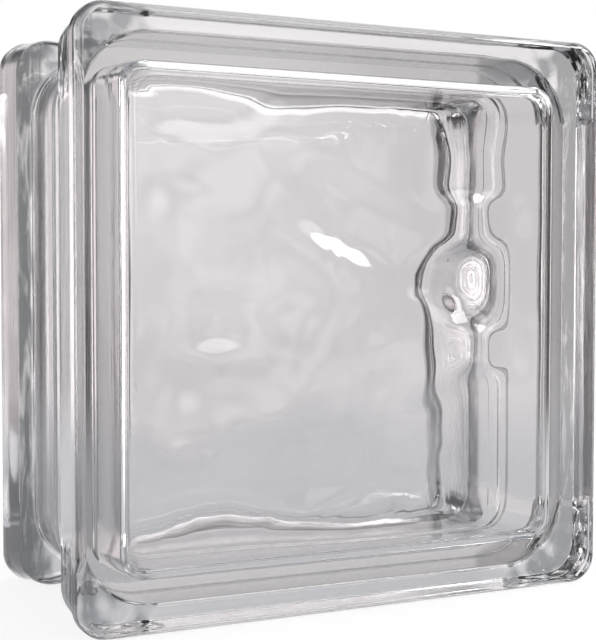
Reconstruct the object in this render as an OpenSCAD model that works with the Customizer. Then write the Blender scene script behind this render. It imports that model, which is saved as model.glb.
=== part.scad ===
// Hollow glass block for walls and partitions.
// Two pressed glass halves are fused hot at mid-depth into one sealed piece. The outside is a
// square block with flat faces, a lip and a flange behind each face, and a mortar channel round
// all four sides. The inside is a sealed cavity whose two faces are pressed in waves.
// X runs across the face, Y through the depth and Z up. The block stands on its lips at Z = 0.

/* [Block] */
// Width of the face
face_w = 197; // [150:1:300]
// Height of the face
face_h = 197; // [150:1:300]
// Depth between the two outer faces
block_d = 98.4; // [86:0.2:130]

/* [Lip and flange] */
// Rounding where a face meets its sides
edge_r = 3; // [1:0.25:4]
// Depth of the full-size lip behind each face
lip_d = 6.5; // [5:0.25:9]
// Corner radius of the lip
lip_corner_r = 10; // [6:0.5:12]
// Depth over which the lip's corners draw in to the flange
flare_d = 6; // [3:0.5:9]
// Depth of the flange, from the face to its back edge
flange_d = 23; // [20:0.5:27]
// How far the flange's side has drawn in at its back edge
flange_inset = 1.1; // [0.4:0.1:1.8]
// Corner radius of the flange at its back edge
flange_corner_r = 12; // [8:0.5:18]
// Rounding of the flange's back edge
flange_edge_r = 0.75; // [0.5:0.25:1.25]

/* [Mortar channel] */
// How far the channel's floor lies below the lip
channel_inset = 6.4; // [5.4:0.1:8]
// Corner radius of the channel's floor
channel_corner_r = 24; // [20:0.5:30]
// How far the step behind the flange leans back
step_lean = 0.1; // [0:0.1:1]
// Fillet between the step and the channel's floor
channel_fillet_r = 1.5; // [0.5:0.25:2]

/* [Fused seam] */
// Width of the bead where the two halves are fused
seam_w = 10; // [6:0.5:14]
// Width of each sloping side of the bead
seam_edge = 2.6; // [1:0.1:3]
// Height of the bead, inside and outside
seam_h = 0.7; // [0.2:0.1:1.2]

/* [Cavity] */
// Mean thickness of each face
face_t = 8.5; // [7:0.1:11]
// Thickness of the side walls at the seam
wall_t = 8.6; // [6:0.1:10]
// How much thicker the side walls are where they meet the faces
wall_draft = 1.2; // [0.5:0.1:3]
// Fillet between the side walls and the inner faces
cavity_fillet_r = 5; // [3:0.5:8]
// Corner radius of the cavity
cavity_corner_r = 8; // [6:0.5:14]

/* [Waves] */
// Height of the swells pressed into the inner faces, against the heights listed below
wave_rise = 1; // [0.2:0.05:1.2]
// Half-length of the swells, against the half-lengths listed below
wave_stretch = 1; // [0.8:0.05:1.2]
// Margin along the walls in which the swells die away
wave_margin = 20; // [14:1:30]

/* [Hidden] */

// Swells of the front and back inner faces, each a soft mound or hollow, as the pattern cutter placed
// them: place across and up from the middle, half-length, half-width, turn, height
FRONT_SWELLS = [
    [10, -50, 34, 40, 0, 1.0], [47, 66, 12, 18, 0, -0.4], [47, 48, 12, 14, 0, -0.7],
    [46, 33, 12, 9, 0, -1.5], [44, 12, 11, 13, 0, 2.1], [34, 13, 12, 7, 0, 1.0],
    [50, -12, 8, 8, 0, -1.2], [62, 33, 9, 9, 0, 0.7], [62, 12, 9, 12, 0, -0.7],
    [62, -12, 9, 9, 0, 0.8], [12, -44, 14, 16, 0, -0.7], [0, 33, 24, 12, -24, 1.9],
    [-51, 0, 12, 9, 0, 1.3], [-62, 68, 20, 8, 0, 0.7], [-50, -44, 22, 20, 0, -1.2],
    [-8, -20, 22, 16, 60, -1.0], [-32, 52, 18, 14, 40, -0.8], [-64, 28, 16, 16, 0, -0.8],
    [-24, 6, 16, 12, -40, 0.9], [22, -16, 14, 14, 20, -0.8], [-68, -26, 12, 16, 0, 0.8],
    [-20, -50, 18, 12, 0, 0.8]];
BACK_SWELLS = [
    [-20, 34, 26, 18, 60, 1.2], [-30, -25, 26, 16, 110, -1.2], [25, -42, 28, 16, 20, 1.0],
    [30, 30, 22, 16, 130, -1.1], [-60, 10, 20, 16, 80, 1.1], [-58, 58, 20, 14, 20, -0.9],
    [4, 0, 20, 14, 30, 1.0], [-62, -52, 20, 14, 0, 1.0]];

// Steps of the arcs, and of the grid that carries the swells
ARC_STEPS = 8;
EDGE_STEPS = 4;
CAVITY_ARC_STEPS = 4;
CAVITY_SIDE_STEPS = 15;
FACE_RINGS = 20;

mid = block_d / 2;
cavity_seam_inset = channel_inset + wall_t;
cavity_face_inset = cavity_seam_inset + wall_draft;
cavity_half_w = face_w / 2 - cavity_face_inset;
cavity_half_h = face_h / 2 - cavity_face_inset;
glass_colour = [0.82, 0.81, 0.82];

function between(a, b, t) = a + (b - a) * t;
function smooth(t) = let (u = min(max(t, 0), 1)) u * u * (3 - 2 * u);

// Point of a rounded rectangle, at an angle from 0 to 90 within corner k
function corner_point(half_w, half_h, r, k, angle) =
    [[1, -1, -1, 1][k] * (half_w - r) + r * cos(90 * k + angle),
     [1, 1, -1, -1][k] * (half_h - r) + r * sin(90 * k + angle)];

// Rounded rectangle with the same number of points at every size
function outline(half_w, half_h, r, arc_steps, side_steps) = [
    for (k = [0:3])
        let (from = corner_point(half_w, half_h, r, k, 90),
             to = corner_point(half_w, half_h, r, (k + 1) % 4, 0))
            each concat(
                [for (i = [0:arc_steps]) corner_point(half_w, half_h, r, k, 90 * i / arc_steps)],
                [for (i = [1:1:side_steps - 1]) between(from, to, i / side_steps)])
];

// Profile of one half, from its face to mid-depth, as depth, inset and corner radius
function flange_side(d) = flange_inset * (d - lip_d) / (flange_d - lip_d);

function face_edge() = [
    for (i = [0:EDGE_STEPS]) let (a = 90 * i / EDGE_STEPS, inset = edge_r * (1 - sin(a)))
        [edge_r * (1 - cos(a)), inset, lip_corner_r - inset]
];

function lip_to_flange() = [
    for (i = [0:EDGE_STEPS]) let (a = 90 * i / EDGE_STEPS, d = lip_d + flare_d * (1 - cos(a)))
        [d, flange_side(d), between(lip_corner_r, flange_corner_r, sin(a))]
];

function flange_back_edge() = [
    for (i = [0:EDGE_STEPS]) let (a = 90 * i / EDGE_STEPS)
        [flange_d - flange_edge_r * (1 - sin(a)), flange_inset + flange_edge_r * (1 - cos(a)),
         flange_corner_r]
];

function channel_fillet() = [
    for (i = [0:EDGE_STEPS]) let (a = 90 * i / EDGE_STEPS, rise = channel_fillet_r * (1 - sin(a)))
        [flange_d + step_lean + channel_fillet_r * (1 - cos(a)), channel_inset - rise, channel_corner_r + rise]
];

// Flat-topped bead of the seam over a side of the given inset, raised outwards or inwards by its sign
function seam_bead(inset, r, sign) = concat(
    [for (i = [0:EDGE_STEPS]) let (t = i / EDGE_STEPS, rise = seam_h * smooth(t))
        [mid - seam_w / 2 + seam_edge * t, inset - sign * rise, r + sign * rise]],
    [[mid, inset - sign * seam_h, r + sign * seam_h]]);

function outer_profile() = concat(face_edge(), lip_to_flange(), flange_back_edge(), channel_fillet(),
                                  seam_bead(channel_inset, channel_corner_r, 1));

function cavity_profile() = concat(
    [for (i = [0:EDGE_STEPS]) let (a = 90 * i / EDGE_STEPS)
        [face_t + cavity_fillet_r * (1 - cos(a)), cavity_face_inset + cavity_fillet_r * (1 - sin(a)),
         cavity_corner_r]],
    seam_bead(cavity_seam_inset, cavity_corner_r, -1));

// The profile of a half followed by its mirror image, as position along Y, inset and corner radius
function both_halves(profile) = let (last = len(profile) - 1) concat(
    [for (p = profile) [p[0] - mid, p[1], p[2]]],
    [for (i = [1:last]) let (p = profile[last - i]) [mid - p[0], p[1], p[2]]]);

// Height of the pressed swells at a place on an inner face, fading to nothing at the walls
function swell(x, z, s) = let (
    along = ((x - s[0]) * cos(s[4]) + (z - s[1]) * sin(s[4])) / (s[2] * wave_stretch),
    across = ((z - s[1]) * cos(s[4]) - (x - s[0]) * sin(s[4])) / s[3])
    s[5] * exp(-pow(along, 2) - pow(across, 4));
function total(list) = list * [for (value = list) 1];
function wave_fade(x, z) = smooth(min(cavity_half_w - abs(x), cavity_half_h - abs(z)) / wave_margin);
function wave(x, z, swells) = wave_rise * total([for (s = swells) swell(x, z, s)]) * wave_fade(x, z);

// A closed skin over rings of points that share one count, closed at each end round a middle point
module loft(rings, first_middle, last_middle) {
    n = len(rings[0]);
    count = len(rings);
    first = count * n;
    last = first + 1;
    polyhedron(
        points = concat([for (ring = rings) each ring], [first_middle, last_middle]),
        faces = [
            for (j = [0:n - 1]) let (k = (j + 1) % n) each concat(
                [[first, k, j], [last, (count - 1) * n + j, (count - 1) * n + k]],
                [for (i = [0:count - 2]) each [
                    [i * n + j, i * n + k, (i + 1) * n + k],
                    [i * n + j, (i + 1) * n + k, (i + 1) * n + j]]])
        ]);
}

module outer_form() {
    rings = [for (s = both_halves(outer_profile()))
        [for (p = outline(face_w / 2 - s[1], face_h / 2 - s[1], s[2], ARC_STEPS, 1)) [p[0], s[0], p[1]]]];
    loft(rings, [0, -mid, 0], [0, mid, 0]);
}

// Rings over one inner face, from its middle outwards, with the swells raised on them
function face_rings(y, swells) = [
    for (i = [1:FACE_RINGS - 1]) let (f = i / FACE_RINGS)
        [for (p = outline(f * (cavity_half_w - cavity_fillet_r), f * (cavity_half_h - cavity_fillet_r),
                          f * cavity_corner_r, CAVITY_ARC_STEPS, CAVITY_SIDE_STEPS))
            [p[0], y + wave(p[0], p[1], swells), p[1]]]
];

function reversed(list) = [for (i = [1:len(list)]) list[len(list) - i]];

module cavity() {
    face_y = mid - face_t;
    walls = [for (s = both_halves(cavity_profile()))
        [for (p = outline(face_w / 2 - s[1], face_h / 2 - s[1], s[2], CAVITY_ARC_STEPS, CAVITY_SIDE_STEPS))
            [p[0], s[0] + wave(p[0], p[1], s[0] < 0 ? FRONT_SWELLS : BACK_SWELLS), p[1]]]];
    loft(concat(face_rings(-face_y, FRONT_SWELLS), walls, reversed(face_rings(face_y, BACK_SWELLS))),
         [0, -face_y + wave(0, 0, FRONT_SWELLS), 0], [0, face_y + wave(0, 0, BACK_SWELLS), 0]);
}

module glass_block() {
    color(glass_colour) translate([0, 0, face_h / 2]) difference() {
        outer_form();
        cavity();
    }
}

glass_block();
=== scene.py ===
# %% [markdown]
# # A hollow glass block
#
# The real block is two pressed glass trays, fused hot mouth to mouth, with air sealed inside. Its outer
# faces are flat, its inner faces are pressed in soft waves, and a mortar channel runs round its sides.
# Clear glass has almost no look of its own: what one sees is the studio, bent by the shape. So this lesson
# spends its care on the shape of both skins, outside and inside, and on a studio that draws them.

import itertools
import math

import bmesh
import bpy
import mathutils
import numpy as np
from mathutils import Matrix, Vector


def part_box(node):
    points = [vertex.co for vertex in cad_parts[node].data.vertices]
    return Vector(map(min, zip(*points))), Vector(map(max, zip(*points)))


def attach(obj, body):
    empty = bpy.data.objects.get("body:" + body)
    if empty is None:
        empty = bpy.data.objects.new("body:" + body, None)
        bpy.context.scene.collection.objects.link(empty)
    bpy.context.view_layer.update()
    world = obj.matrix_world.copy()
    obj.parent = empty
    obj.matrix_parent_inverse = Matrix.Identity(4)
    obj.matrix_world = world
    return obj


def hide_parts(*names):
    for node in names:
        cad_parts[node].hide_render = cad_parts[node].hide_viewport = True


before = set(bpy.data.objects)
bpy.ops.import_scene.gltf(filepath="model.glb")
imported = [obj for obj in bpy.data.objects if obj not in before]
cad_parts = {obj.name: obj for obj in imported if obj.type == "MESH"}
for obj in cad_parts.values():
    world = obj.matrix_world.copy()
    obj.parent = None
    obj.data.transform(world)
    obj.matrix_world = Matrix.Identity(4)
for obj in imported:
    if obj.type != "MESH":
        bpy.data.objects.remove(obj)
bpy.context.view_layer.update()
bpy.ops.object.select_all(action="DESELECT")

MM = 0.001
block_low, block_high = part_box("glass_block")
face_half = (block_high[0] - block_low[0]) / 2
block_half_d = (block_high[1] - block_low[1]) / 2
block_mid_z = (block_low[2] + block_high[2]) / 2
print(f"block: face {2 * face_half / MM:.1f} mm, depth {2 * block_half_d / MM:.1f} mm")

# %% [markdown]
# ## Camera
#
# The block is seen from a little above its middle and from its left, so that the left side shows with its
# two flanges and the channel between them. The camera comes first, because it decides what has to look
# right.

# %% Camera
CAMERA_PLACE = (-0.2144, -0.4424, 0.1158)
CAMERA_DOWN = 2.28
CAMERA_ROLL = -0.05
CAMERA_YAW = -25.84
CAMERA_LENS = 75.25
CAMERA_SENSOR = 36
CAMERA_NEAR = 0.01

scene = bpy.context.scene
bpy.ops.object.camera_add(
    location=CAMERA_PLACE,
    rotation=(math.radians(90 - CAMERA_DOWN), math.radians(CAMERA_ROLL), math.radians(CAMERA_YAW)))
camera = bpy.context.object
camera.name = "studio_camera"
camera.data.lens = CAMERA_LENS
camera.data.sensor_width = CAMERA_SENSOR
camera.data.clip_start = CAMERA_NEAR
scene.camera = camera
print("camera lens", CAMERA_LENS, "mm")

# %% [markdown]
# ## Rounded sections
#
# Every cut across the block's depth is a square with round corners, and only its size and corner radius
# change on the way from face to seam. So each skin is a stack of such squares: a plane stood upright, its
# four corners bevelled, then all of them joined by one bridge. A half is enough, because a Mirror modifier
# makes the other.

# %% Section and skin tools
CORNER_STEPS = 16
SAME_PLACE = 1e-7
SAME_LENGTH = 1e-6
SEAM_MERGE = 1e-5


def select_edges(mesh, wanted):
    """Selects only the edges of the mesh in edit mode for which wanted(edge) is true."""
    edit = bmesh.from_edit_mesh(mesh)
    for part in (edit.verts, edit.edges, edit.faces):
        for item in part:
            item.select = False
    edit.select_mode = {"EDGE"}
    for edge in edit.edges:
        if wanted(edge):
            edge.select_set(True)
    edit.select_flush_mode()
    bmesh.update_edit_mesh(mesh)


def add_section(mesh, y, half, corner_r, corner_steps, side_cuts):
    """Adds one upright rounded square to the mesh in edit mode, as a ring of edges."""
    bpy.ops.mesh.primitive_plane_add(
        size=2 * half, location=(0, y, block_mid_z), rotation=(math.pi / 2, 0, 0))
    bpy.ops.mesh.bevel(
        affect="VERTICES", offset_type="OFFSET", offset=corner_r, segments=corner_steps,
        profile=0.5, clamp_overlap=False)
    bpy.ops.mesh.delete(type="ONLY_FACE")
    if side_cuts:
        side_length = 2 * (half - corner_r)
        select_edges(mesh, lambda edge: edge.is_wire and abs(edge.verts[0].co.y - y) < SAME_PLACE
                     and abs(edge.calc_length() - side_length) < SAME_LENGTH)
        bpy.ops.mesh.subdivide(number_cuts=side_cuts)


def start_skin(name):
    """Adds an empty mesh object and opens it in edit mode."""
    bpy.ops.object.select_all(action="DESELECT")
    bpy.ops.mesh.primitive_plane_add(size=face_half)
    skin = bpy.context.object
    skin.name = name
    skin.data.name = name
    bpy.ops.object.mode_set(mode="EDIT")
    bpy.ops.mesh.select_all(action="SELECT")
    bpy.ops.mesh.delete(type="VERT")
    return skin


def bridge_sections(skin, profile, corner_steps, side_cuts):
    """Stacks the profile's sections, given as depth, inset and corner radius, and bridges them in order."""
    for depth, inset, corner_r in profile:
        add_section(skin.data, depth - block_half_d, face_half - inset, corner_r, corner_steps, side_cuts)
    bpy.ops.mesh.select_mode(type="EDGE")
    bpy.ops.mesh.select_all(action="SELECT")
    bpy.ops.mesh.bridge_edge_loops(type="SINGLE")


def select_ring(skin, y):
    """Selects the ring of edges that lies at one place along the depth."""
    select_edges(skin.data, lambda edge: all(abs(v.co.y - y) < SAME_PLACE for v in edge.verts))


def mirror_half(skin):
    """Leaves edit mode and makes the other half by mirroring over the seam."""
    bpy.ops.object.mode_set(mode="OBJECT")
    mirror = skin.modifiers.new("other half", "MIRROR")
    mirror.use_axis = (False, True, False)
    mirror.merge_threshold = SEAM_MERGE
    bpy.ops.object.modifier_apply(modifier=mirror.name)


def quarter_turn(steps):
    """Angles from 0 to 90 degrees, in radians."""
    return [math.pi / 2 * i / steps for i in range(steps + 1)]


def smooth(t):
    """Goes from 0 to 1 with no kink at either end."""
    t = np.clip(t, 0, 1)
    return t * t * (3 - 2 * t)


print("sections have", 4 * CORNER_STEPS, "corner edges")

# %% [markdown]
# ## The outside
#
# Behind each face comes a full-size lip with tight corners, then a flange whose corners draw in, then a
# drop to the mortar channel, and at mid-depth the low bead where the halves were fused. The profile is
# written as depth, inset and corner radius, in the order in which a finger would feel it.

# %% Outside skin
EDGE_R = 3 * MM
LIP_D = 6.5 * MM
LIP_CORNER_R = 10 * MM
FLARE_D = 6 * MM
FLANGE_D = 23 * MM
FLANGE_INSET = 1.1 * MM
FLANGE_CORNER_R = 12 * MM
FLANGE_EDGE_R = 0.75 * MM
CHANNEL_INSET = 6.4 * MM
CHANNEL_CORNER_R = 24 * MM
STEP_LEAN = 0.1 * MM
CHANNEL_FILLET_R = 1.5 * MM
SEAM_W = 10 * MM
SEAM_H = 0.7 * MM
SEAM_EDGE = 2.6 * MM
ARC_STEPS = 10
BEAD_STEPS = 10


def seam_bead(inset, corner_r, outwards):
    """Half of the bead at the seam, raised from a side by its height."""
    side = [(block_half_d - SEAM_W / 2 + SEAM_EDGE * t, inset - outwards * SEAM_H * smooth(t),
             corner_r + outwards * SEAM_H * smooth(t)) for t in np.linspace(0, 1, BEAD_STEPS + 1)]
    return side + [(block_half_d, *side[-1][1:])]


def outer_profile():
    """From the face's edge to the seam."""
    profile = []
    for a in quarter_turn(ARC_STEPS):
        inset = EDGE_R * (1 - math.sin(a))
        profile.append((EDGE_R * (1 - math.cos(a)), inset, LIP_CORNER_R - inset))
    for a in quarter_turn(ARC_STEPS):
        depth = LIP_D + FLARE_D * (1 - math.cos(a))
        inset = FLANGE_INSET * (depth - LIP_D) / (FLANGE_D - LIP_D)
        profile.append((depth, inset, LIP_CORNER_R + (FLANGE_CORNER_R - LIP_CORNER_R) * math.sin(a)))
    for a in quarter_turn(ARC_STEPS):
        inset = FLANGE_INSET + FLANGE_EDGE_R * (1 - math.cos(a))
        profile.append((FLANGE_D - FLANGE_EDGE_R * (1 - math.sin(a)), inset, FLANGE_CORNER_R))
    for a in quarter_turn(ARC_STEPS):
        rise = CHANNEL_FILLET_R * (1 - math.sin(a))
        depth = FLANGE_D + STEP_LEAN + CHANNEL_FILLET_R * (1 - math.cos(a))
        profile.append((depth, CHANNEL_INSET - rise, CHANNEL_CORNER_R + rise))
    return profile + seam_bead(CHANNEL_INSET, CHANNEL_CORNER_R, 1)


block = start_skin("glass_block_body")
bridge_sections(block, outer_profile(), CORNER_STEPS, 0)
select_ring(block, -block_half_d)
bpy.ops.mesh.edge_face_add()
bpy.ops.mesh.select_all(action="SELECT")
bpy.ops.mesh.normals_make_consistent(inside=False)
mirror_half(block)
print("outside skin:", len(block.data.polygons), "faces")

# %% [markdown]
# ## The pressed waves
#
# The plunger that shapes each tray has broad dents and swells, cut by hand so that no two places bend the
# view alike. Each one is a soft mound, given by its place across and up from the middle, its half-length,
# half-width, turn and height, in millimetres and degrees. Beside the walls they die away. A texture with
# Displace could do this too, but a short list says exactly where a bend lies.

# %% Wave relief
WAVE_MARGIN = 20 * MM
FRONT_SWELLS = [
    (10, -50, 34, 40, 0, 1.0),
    (47, 66, 12, 18, 0, -0.4),
    (47, 48, 12, 14, 0, -0.7),
    (46, 33, 12, 9, 0, -1.5),
    (44, 12, 11, 13, 0, 2.1),
    (34, 13, 12, 7, 0, 1.0),
    (50, -12, 8, 8, 0, -1.2),
    (62, 33, 9, 9, 0, 0.7),
    (62, 12, 9, 12, 0, -0.7),
    (62, -12, 9, 9, 0, 0.8),
    (12, -44, 14, 16, 0, -0.7),
    (0, 33, 24, 12, -24, 1.9),
    (-51, 0, 12, 9, 0, 1.3),
    (-62, 68, 20, 8, 0, 0.7),
    (-50, -44, 22, 20, 0, -1.2),
    (-8, -20, 22, 16, 60, -1.0),
    (-32, 52, 18, 14, 40, -0.8),
    (-64, 28, 16, 16, 0, -0.8),
    (-24, 6, 16, 12, -40, 0.9),
    (22, -16, 14, 14, 20, -0.8),
    (-68, -26, 12, 16, 0, 0.8),
    (-20, -50, 18, 12, 0, 0.8),
]
BACK_SWELLS = [
    (-20, 34, 26, 18, 60, 1.2),
    (-30, -25, 26, 16, 110, -1.2),
    (25, -42, 28, 16, 20, 1.0),
    (30, 30, 22, 16, 130, -1.1),
    (-60, 10, 20, 16, 80, 1.1),
    (-58, 58, 20, 14, 20, -0.9),
    (4, 0, 20, 14, 30, 1.0),
    (-62, -52, 20, 14, 0, 1.0),
]


def wave_height(x, z, swells, half):
    """Height of the pressed waves at places on an inner face, as a sum of firm-sided mounds."""
    height = np.zeros_like(x)
    for at_x, at_z, length, width, turn, rise in swells:
        c, s = math.cos(math.radians(turn)), math.sin(math.radians(turn))
        along = ((x - at_x * MM) * c + (z - at_z * MM) * s) / (length * MM)
        across = ((z - at_z * MM) * c - (x - at_x * MM) * s) / (width * MM)
        height += rise * MM * np.exp(-along**2 - across**4)
    return height * smooth((half - np.maximum(np.abs(x), np.abs(z))) / WAVE_MARGIN)


print("swells:", len(FRONT_SWELLS), "front,", len(BACK_SWELLS), "back")

# %% [markdown]
# ## The cavity
#
# The inside is a second closed skin with its own, plainer profile: a fillet at each face, a drafted wall,
# and the bead of the seam pressed inwards. Its two faces are filled as grids, fine enough to carry the
# waves.

# %% Cavity skin
FACE_T = 8.5 * MM
WALL_T = 8.6 * MM
WALL_DRAFT = 1.2 * MM
CAVITY_FILLET_R = 5 * MM
CAVITY_CORNER_R = 8 * MM
CAVITY_CORNER_STEPS = 24
CAVITY_SIDE_STEPS = 96

cavity_half = face_half - CHANNEL_INSET - WALL_T - WALL_DRAFT


def cavity_profile():
    """From the inner face to the seam."""
    face_inset = CHANNEL_INSET + WALL_T + WALL_DRAFT
    fillet = []
    for a in quarter_turn(ARC_STEPS):
        inset = face_inset + CAVITY_FILLET_R * (1 - math.sin(a))
        fillet.append((FACE_T + CAVITY_FILLET_R * (1 - math.cos(a)), inset, CAVITY_CORNER_R))
    return fillet + seam_bead(CHANNEL_INSET + WALL_T, CAVITY_CORNER_R, -1)


def fill_face(skin, y):
    """Fills the ring at one depth with a grid that has its corners in the middle of the ring's arcs."""
    select_ring(skin, y)
    bpy.ops.mesh.select_mode(type="VERT")
    edit = bmesh.from_edit_mesh(skin.data)
    corner = max((v for v in edit.verts if v.select), key=lambda v: v.co.x + v.co.z)
    edit.select_history.clear()
    edit.select_history.add(corner)
    bpy.ops.mesh.fill_grid(span=CAVITY_CORNER_STEPS + CAVITY_SIDE_STEPS)


cavity = start_skin("cavity")
bridge_sections(cavity, cavity_profile(), CAVITY_CORNER_STEPS, CAVITY_SIDE_STEPS - 1)
fill_face(cavity, FACE_T - block_half_d)
bpy.ops.mesh.select_all(action="SELECT")
bpy.ops.mesh.normals_make_consistent(inside=False)
mirror_half(cavity)

places = np.empty(3 * len(cavity.data.vertices))
cavity.data.vertices.foreach_get("co", places)
places = places.reshape(-1, 3)
across_x, up_z = places[:, 0], places[:, 2] - block_mid_z
near_front = places[:, 1] < 0
places[:, 1] += np.where(near_front, wave_height(across_x, up_z, FRONT_SWELLS, cavity_half),
                         wave_height(across_x, up_z, BACK_SWELLS, cavity_half))
cavity.data.vertices.foreach_set("co", places.ravel())
cavity.data.update()
print("cavity skin:", len(cavity.data.polygons), "faces")

# %% [markdown]
# ## One piece of glass
#
# The glass is what lies between the two skins, so the cavity's normals are turned to point into the air
# inside before the skins are joined. Light then enters and leaves the glass at the right places. Weighted
# normals keep the flat faces optically flat beside their rounded edges.

# %% Join the skins
FLAT_FACE_WEIGHT = 80

bpy.ops.object.mode_set(mode="EDIT")
bpy.ops.mesh.select_all(action="SELECT")
bpy.ops.mesh.flip_normals()
bpy.ops.object.mode_set(mode="OBJECT")
bpy.ops.object.select_all(action="DESELECT")
cavity.select_set(True)
block.select_set(True)
bpy.context.view_layer.objects.active = block
bpy.ops.object.join()
bpy.ops.object.shade_smooth()
weighted = block.modifiers.new("flat faces stay flat", "WEIGHTED_NORMAL")
weighted.weight = FLAT_FACE_WEIGHT
bpy.ops.object.modifier_apply(modifier=weighted.name)
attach(block, "root")
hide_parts("glass_block")
triangles = sum(len(face.vertices) - 2 for face in block.data.polygons)
print("glass:", triangles, "triangles")

# %% [markdown]
# ## Shader maths
#
# Node trees are easier to read as formulas. This small class wraps a socket: operators on it add Math nodes,
# and its method `node` adds any other node.

# %% Socket class


class Socket:
    """One output socket of a node tree, on which maths can be written as Python expressions."""

    def __init__(self, tree, socket=None):
        self.tree = tree
        self.socket = socket

    def node(self, kind, settings=None, inputs=None, output=0):
        """Adds a node, sets it up, fills its sockets with values or links, and returns one output."""
        made = self.tree.nodes.new("ShaderNode" + kind)
        for name, value in (settings or {}).items():
            setattr(made, name, value)
        for name, value in (inputs or {}).items():
            if isinstance(value, Socket):
                self.tree.links.new(value.socket, made.inputs[name])
            else:
                made.inputs[name].default_value = value
        return Socket(self.tree, made.outputs[output] if len(made.outputs) else None)

    def maths(self, operation, *values):
        """Adds a Math node for which Python has no operator."""
        return self.node("Math", {"operation": operation}, dict(enumerate(values)))

    def step(self, value, low, high):
        """Goes smoothly from 0 to 1 as the value goes from low to high."""
        return self.node("MapRange", {"interpolation_type": "SMOOTHSTEP"},
                         {"Value": value, "From Min": low, "From Max": high})

    def fall(self, value, low, high):
        """Goes smoothly from 1 to 0 as the value goes from low to high."""
        return self.node("MapRange", {"interpolation_type": "SMOOTHSTEP"}, {
            "Value": value, "From Min": low, "From Max": high, "To Min": 1.0, "To Max": 0.0})

    def blend(self, share, first, second):
        """Mixes two colours by a share."""
        return self.node("Mix", {"data_type": "RGBA"}, {0: share, 6: first, 7: second}, 2)

    def __add__(self, other):
        return self.maths("ADD", self, other)

    def __sub__(self, other):
        return self.maths("SUBTRACT", self, other)

    def __rsub__(self, other):
        return self.maths("SUBTRACT", other, self)

    def __mul__(self, other):
        return self.maths("MULTIPLY", self, other)

    __radd__ = __add__
    __rmul__ = __mul__


def empty_tree(owner):
    """Opens the owner's node tree with nothing in it."""
    owner.use_nodes = True
    owner.node_tree.nodes.clear()
    return Socket(owner.node_tree)


print("shader maths ready")

# %% [markdown]
# ## Where the glass differs
#
# One material covers the whole block, so it has to know where it is. Each mask is 1 on one part of the block
# and 0 elsewhere, worked out from Object coordinates and from the way the surface faces. Separate material
# slots would do too, but their borders would follow the mesh. Each pair of values says where a mask starts
# and ends its fade.

# %% Glass masks
SIDEWAYS = (0.3, 0.8)
FACEWAYS = (0.9, 0.97)
SIDE_FADE = (face_half - 11 * MM, face_half - 9 * MM)
CORNER_SIDE_FADE = (face_half - 15 * MM, face_half - 14 * MM)
LEFT_FADE = (14 * MM - face_half, 24 * MM - face_half)
FLANGE_FADE = (26 * MM, 27.5 * MM)
CHANNEL_FADE = (25.5 * MM, 27 * MM)
STEP_START = (23.5 * MM, 24.5 * MM)
STEP_END = (26.4 * MM, 26.8 * MM)
MIDDLE_FADE = (0.0, 1 * MM)
INSIDE_FADE = (cavity_half + 1.5 * MM, cavity_half + 2.5 * MM)
INSIDE_DEPTH_FADE = (44 * MM, 46 * MM)
LEFT_WALL_FADE = (2 * MM - cavity_half, 6 * MM - cavity_half)
WALL_END_DEPTH = (47 * MM, 48 * MM)
WALL_END_FADE = (82 * MM, 85 * MM)

glass = bpy.data.materials.new("clear pressed glass")
tree = empty_tree(glass)
place = tree.node("TexCoord", output="Object")
facing = tree.node("TexCoord", output="Normal")
x, y, z = (tree.node("SeparateXYZ", {}, {0: place}, axis) for axis in "XYZ")
facing_depth = tree.maths("ABSOLUTE", tree.node("SeparateXYZ", {}, {0: facing}, "Y"))
across = tree.maths("ABSOLUTE", x)
up_or_down = tree.maths("ABSOLUTE", z - block_mid_z)
out_from_middle = tree.maths("MAXIMUM", across, up_or_down)
away_from_seam = tree.maths("ABSOLUTE", y)

facing_out = tree.fall(facing_depth, *SIDEWAYS)
near_side = tree.step(out_from_middle, *SIDE_FADE)
beside = tree.step(across, *SIDE_FADE)
at_back = tree.step(y, *MIDDLE_FADE)
on_right = tree.step(x, *MIDDLE_FADE)
on_left = tree.fall(x, *LEFT_FADE)
on_side = facing_out * near_side
on_flange = on_side * tree.step(away_from_seam, *FLANGE_FADE)
on_step = tree.step(away_from_seam, *STEP_START) * tree.fall(away_from_seam, *STEP_END)
in_channel = near_side * tree.fall(away_from_seam, *CHANNEL_FADE)
inside = tree.fall(out_from_middle, *INSIDE_FADE) * tree.fall(away_from_seam, *INSIDE_DEPTH_FADE)
on_left_wall = inside * facing_out * tree.fall(x, *LEFT_WALL_FADE)
at_wall_end = tree.step(y, *WALL_END_DEPTH) * tree.step(across, *WALL_END_FADE)
print("masks in", len(glass.node_tree.nodes), "nodes")
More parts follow.
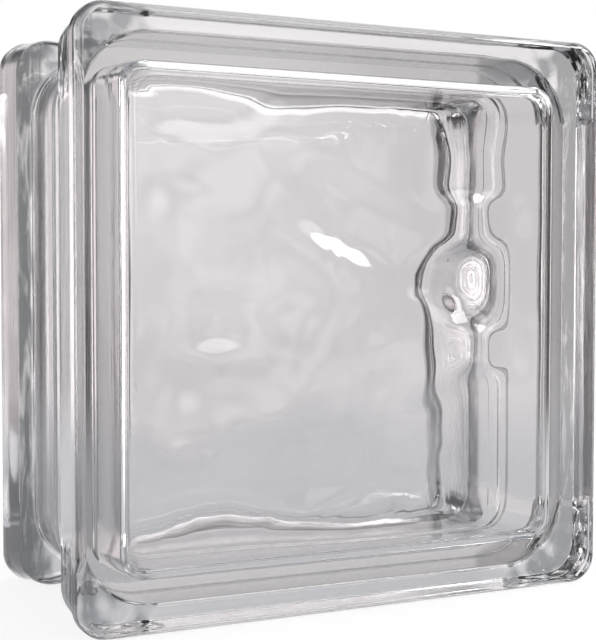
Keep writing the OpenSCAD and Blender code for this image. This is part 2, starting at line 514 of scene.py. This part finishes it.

# %% [markdown]
# ## Marks of the mould
#
# Pressed glass keeps marks of its mould: fine streaks along the flanges and the left side, mottled corners, a
# faint ripple in the inner faces and, beside the right wall, one thin line. They are finer than this mesh can
# carry, so they are heights in a Bump node, in metres. The wisps are a noise stretched upwards, for the
# painted shade that follows.

# %% Mould marks
STREAK_PITCH = 2.6 * MM
STREAK_RUN = 70 * MM
STREAK_H = 0.12 * MM
WALL_STREAK_H = 0.05 * MM
WISP_PITCH = 3.5 * MM
WISP_RUN = 22 * MM
MOTTLE_SIZE = 9 * MM
MOTTLE_H = 2.4 * MM
MOTTLE_MEAN = 0.5
CORNER_RAGGED = 10 * MM
CORNER_FADE = (68 * MM, 74 * MM)
CORNER_DEPTH_START = (22 * MM, 24 * MM)
CORNER_DEPTH_END = (40 * MM, 42 * MM)
RIPPLE_SIZE = 26 * MM
RIPPLE_H = 0.45 * MM
INNER_FACE_START = (35 * MM, 36 * MM)
INNER_FACE_END = (44 * MM, 45 * MM)
RIPPLE_EDGE_FADE = (cavity_half - 25 * MM, cavity_half - 5 * MM)
RIPPLE_RIGHT_FADE = (20 * MM, 42 * MM)
PRESS_LINE_X = cavity_half - CAVITY_FILLET_R - 0.8 * MM
PRESS_LINE_W = 1.0 * MM
PRESS_LINE_H = 0.15 * MM
PRESS_LINE_START = (36 * MM, 38 * MM)
PRESS_LINE_END = (44 * MM, 46 * MM)

streak_place = tree.node("Mapping", {}, {
    "Vector": place, "Scale": (1 / STREAK_RUN, 1 / STREAK_PITCH, 1 / STREAK_RUN)})
streaks = tree.node("TexNoise", {}, {
    "Vector": streak_place, "Scale": 1.0, "Detail": 3.0, "Roughness": 0.6}, "Fac")
wisp_place = tree.node("Mapping", {}, {
    "Vector": place, "Scale": (1 / WISP_PITCH, 1 / WISP_PITCH, 1 / WISP_RUN)})
wisps = tree.node("TexNoise", {}, {
    "Vector": wisp_place, "Scale": 1.0, "Detail": 3.0, "Roughness": 0.55, "Distortion": 0.6}, "Fac")
mottle = tree.node("TexNoise", {}, {"Vector": place, "Scale": 1 / MOTTLE_SIZE, "Detail": 1.0}, "Fac")
ripple = tree.node("TexNoise", {}, {
    "Vector": place, "Scale": 1 / RIPPLE_SIZE, "Detail": 1.0, "Roughness": 0.35, "Distortion": 1.2}, "Fac")

into_corner = tree.maths("MINIMUM", across, up_or_down) + (mottle - MOTTLE_MEAN) * CORNER_RAGGED
in_corner = (tree.step(into_corner, *CORNER_FADE) * tree.step(out_from_middle, *CORNER_SIDE_FADE)
             * tree.step(away_from_seam, *CORNER_DEPTH_START)
             * tree.fall(away_from_seam, *CORNER_DEPTH_END) * tree.fall(y, *STEP_END))
on_inner_face = (tree.step(facing_depth, *FACEWAYS) * tree.step(away_from_seam, *INNER_FACE_START)
                 * tree.fall(away_from_seam, *INNER_FACE_END)
                 * tree.fall(out_from_middle, *RIPPLE_EDGE_FADE) * tree.fall(x, *RIPPLE_RIGHT_FADE))
press_line = (tree.fall(tree.maths("ABSOLUTE", x - PRESS_LINE_X), 0.0, PRESS_LINE_W / 2)
              * tree.step(y, *PRESS_LINE_START) * tree.fall(y, *PRESS_LINE_END))
streak_height = (tree.maths("MAXIMUM", on_flange, on_left * on_side) * STREAK_H
                 + on_left_wall * WALL_STREAK_H)
height = (streaks * streak_height + press_line * PRESS_LINE_H + mottle * in_corner * MOTTLE_H
          + ripple * on_inner_face * RIPPLE_H)
relief = tree.node("Bump", {}, {"Strength": 1.0, "Distance": 1.0, "Height": height})
print("mottled corners from", CORNER_FADE[0] / MM, "mm out")

# %% [markdown]
# ## Tones and painted shade of the glass
#
# A real block has hardly any colour of its own: its edges look grey because they mirror a room. This studio
# holds only a part of such a room, so a few grey tones of painted shade stand in for the dark parts of the
# room that they would mirror. The inside is a little tinted, and the channel at the left, the corners, the
# steps beside the channel and the ends of the side walls get painted shade, broken up by the wisps and the
# mottle.
# Every mix lays one tone over those before it, where its mask is 1.

# %% Glass colours and painted shade
GLASS_CLEAR = (0.96, 0.955, 0.957, 1)
GLASS_INSIDE = (0.78, 0.768, 0.772, 1)
# Painted shade: the five grey tones below stand in for the dark parts of a room that the edges would mirror.
PAINTED_SHADE_WALL_END = (0.38, 0.378, 0.38, 1)
PAINTED_SHADE_CHANNEL = (0.5, 0.51, 0.53, 1)
PAINTED_SHADE_CORNER = (0.2, 0.215, 0.225, 1)
PAINTED_SHADE_STEP = (0.14, 0.15, 0.156, 1)
PAINTED_SHADE_RIGHT_STEP = (0.22, 0.224, 0.228, 1)
STREAK_SHARE = 0.6
CHANNEL_WISPS = (0.38, 0.62)
CORNER_MOTTLE = (0.35, 0.6)
STEP_WISPS = (0.3, 0.55)
RIGHT_STEP_WISPS = (0.2, 0.5)

# The pattern of streaks and wisps in which the channel's painted shade lies.
channel_shade_pattern = tree.step(streaks * STREAK_SHARE + wisps * (1 - STREAK_SHARE), *CHANNEL_WISPS)
back_or_left = tree.maths("MAXIMUM", at_back, on_left)
colour = tree.blend(inside, GLASS_CLEAR, GLASS_INSIDE)
# Painted shade: the ends of the side walls at the back are darkened, in place of the dark room they would
# mirror.
colour = tree.blend(at_wall_end, colour, PAINTED_SHADE_WALL_END)
# Painted shade on the channel at the left, laid in streaks and wisps, in place of the dark room it would
# mirror.
colour = tree.blend(in_channel * on_left * channel_shade_pattern, colour, PAINTED_SHADE_CHANNEL)
# Painted shade in the corners, broken up by the mottle.
colour = tree.blend(in_corner * tree.step(mottle, *CORNER_MOTTLE), colour, PAINTED_SHADE_CORNER)
# Painted shade on the steps beside the channel, at the back and at the left, broken up by the wisps.
colour = tree.blend(on_step * beside * back_or_left * tree.step(wisps, *STEP_WISPS), colour, PAINTED_SHADE_STEP)
# Painted shade, a little lighter, on the front steps at the right, broken up by the wisps.
colour = tree.blend(on_step * beside * on_right * (1 - at_back) * tree.step(wisps, *RIGHT_STEP_WISPS),
                    colour, PAINTED_SHADE_RIGHT_STEP)
print("glass tint", GLASS_CLEAR[:3])

# %% [markdown]
# ## Clear glass
#
# One Principled shader with full transmission bends light as soda-lime glass does. A Volume Absorption takes
# a little light on the way, so that a long path through a rim is darker than a short one through a face. The
# channel and the flanges are left duller than the polished faces.

# %% Glass material
GLASS_IOR = 1.52
LOST_LIGHT = (0.5, 0.49, 0.49, 1)
LOST_PER_METRE = 10.0
CHANNEL_ROUGHNESS = 0.2
FLANGE_ROUGHNESS = 0.12

surface = tree.node("BsdfPrincipled", {}, {
    "Base Color": colour, "Normal": relief, "IOR": GLASS_IOR, "Transmission Weight": 1.0,
    "Roughness": in_channel * CHANNEL_ROUGHNESS + on_flange * FLANGE_ROUGHNESS})
absorption = tree.node("VolumeAbsorption", {}, {"Color": LOST_LIGHT, "Density": LOST_PER_METRE})
tree.node("OutputMaterial", {}, {"Surface": surface, "Volume": absorption})
block.data.materials.clear()
block.data.materials.append(glass)
print("glass material in", len(glass.node_tree.nodes), "nodes")

# %% [markdown]
# ## Studio
#
# A white ground runs into a white backdrop. Glass shows its surroundings, so the surroundings hold what draws
# it: a white field behind, as the camera sees it, with a slate gap and a pale panel that draw the left rim,
# a pale wall with a tall window at the left, a soft light overhead, dark cards at the right that put dark
# lines in the edges, and a dark room behind the camera, with lit panels that the waves mirror. Each is one or
# more round zones of the sky, given by the directions of their middles and by where their fade starts and
# ends, in degrees. A row of zones makes a strip, and later zones lie over earlier ones.

# %% Backdrop
WHITE = (1, 1, 1, 1)
BASE_TONE = (0.40, 0.42, 0.45, 1)
ZONES = [
    ("white field behind", [14], [0], 46, 52, (1.0, 0.98, 0.985, 1)),
    ("left hand wall", [-105], [0], 38, 46, (3.2, 3.12, 3.14, 1)),
    ("tall window in the left wall", [-79], [-10, 0, 10], 11, 15, (9.0, 8.8, 8.9, 1)),
    ("dark card at the right", [66, 84, 102, 120], [0], 11, 14, (0.07, 0.06, 0.055, 1)),
    ("pale ground far off", [0], [-90], 74, 82, (0.74, 0.75, 0.78, 1)),
    ("dark room behind the camera", [150], [0], 35, 50, (0.14, 0.13, 0.13, 1)),
    ("soft light overhead", [70], [62], 28, 42, (1.7, 1.7, 1.7, 1)),
    ("slate gap", [-4], range(-18, 19, 6), 4, 10, (0.10, 0.115, 0.125, 1)),
    ("pale panel at the left", [-20], range(-12, 13, 6), 4, 9, (2.5, 2.3, 2.36, 1)),
    ("pale end of the wall", [-50], [8], 5, 9, (1.0, 0.98, 0.985, 1)),
    ("pale blind", [158], [4], 4, 9, (1.5, 1.47, 1.48, 1)),
    ("low pale blind", [147], [-9], 3, 8, (1.3, 1.28, 1.29, 1)),
    ("panel above the camera", [158], [27], 6, 14, (5.0, 5.0, 5.0, 1)),
    ("panel at the camera's left", [180], [12], 5, 13, (4.5, 4.4, 4.4, 1)),
    ("panel at the camera's right", [124], [16], 5, 12, (4.0, 4.0, 4.0, 1)),
    ("low panel", [148], [-30], 6, 14, (3.0, 3.0, 3.0, 1)),
]

world = bpy.data.worlds.new("studio")
scene.world = world
tree = empty_tree(world)
looking = tree.node("TexCoord", output="Generated")
camera_ray = tree.node("LightPath", output="Is Camera Ray")


def direction(azimuth, elevation):
    """Unit vector of a direction, with azimuth from +Y towards +X."""
    az, el = math.radians(azimuth), math.radians(elevation)
    return (math.cos(el) * math.sin(az), math.cos(el) * math.cos(az), math.sin(el))


tone = BASE_TONE
for title, azimuths, elevations, inner, outer, zone_tone in ZONES:
    for azimuth, elevation in itertools.product(azimuths, elevations):
        nearness = tree.node("VectorMath", {"operation": "DOT_PRODUCT"},
                             {0: looking, 1: direction(azimuth, elevation)}, "Value")
        zone = tree.step(nearness, math.cos(math.radians(outer)), math.cos(math.radians(inner)))
        tone = tree.blend(zone, tone, zone_tone)
    print("zone", title)
seen = tree.blend(camera_ray, tone, WHITE)
backdrop = tree.node("Background", {}, {"Color": seen, "Strength": 1.0})
tree.node("OutputWorld", {}, {"Surface": backdrop})
scene.view_settings.view_transform = "Standard"

# %% [markdown]
# ## Ground
#
# The ground is white paper that keeps a faint shadow. To the camera it is white, and in the glass a little
# duller. Far from the block it fades away into the backdrop, so that no horizon shows through the glass.

# %% Floor
GROUND_SIZE = 6.0
GROUND_FADE = (0.25, 0.9)
GROUND_GLOW = 0.8
PAPER_TONE = (0.9, 0.9, 0.9, 1)
GROUND_TONE = (0.68, 0.69, 0.72, 1)

bpy.ops.object.select_all(action="DESELECT")
bpy.ops.mesh.primitive_plane_add(size=GROUND_SIZE, location=(0, 0, 0))
floor = bpy.context.object
floor.name = "studio_floor"
paper = bpy.data.materials.new("white ground")
tree = empty_tree(paper)
camera_ray = tree.node("LightPath", output="Is Camera Ray")
place = tree.node("TexCoord", output="Object")
distance = tree.node("VectorMath", {"operation": "LENGTH"}, {0: place}, "Value")
diffuse = tree.node("BsdfDiffuse", {}, {"Color": PAPER_TONE})
white = tree.node("Emission", {}, {"Color": tree.blend(camera_ray, GROUND_TONE, WHITE), "Strength": 1.0})
mixed = tree.node("MixShader", {}, {0: GROUND_GLOW, 1: diffuse, 2: white})
clear = tree.node("BsdfTransparent", {}, {"Color": WHITE})
faded = tree.node("MixShader", {}, {0: tree.step(distance, *GROUND_FADE), 1: mixed, 2: clear})
tree.node("OutputMaterial", {}, {"Surface": faded})
floor.data.materials.append(paper)
print("floor", floor.name)

# %% [markdown]
# ## Lamp
#
# One soft box stands high at the camera's right. It is hidden from the camera, but the waves inside the glass
# mirror it as a slanted white glint. Its brightness is given against white.

# %% Lamp
LAMP_AZIMUTH = 128
LAMP_ELEVATION = 34
LAMP_FAR = 0.9
LAMP_SIZE = 0.26
LAMP_BRIGHTNESS = 14

towards = direction(LAMP_AZIMUTH, LAMP_ELEVATION)
middle = (0, 0, block_mid_z)
bpy.ops.object.light_add(type="AREA", location=[m + LAMP_FAR * t for m, t in zip(middle, towards)])
lamp = bpy.context.object
lamp.name = "high soft box"
lamp.rotation_euler = mathutils.Vector(towards).to_track_quat("Z", "Y").to_euler()
lamp.data.size = LAMP_SIZE
lamp.data.energy = LAMP_BRIGHTNESS * math.pi * LAMP_SIZE**2
lamp.visible_camera = False
print("lamp", lamp.name)
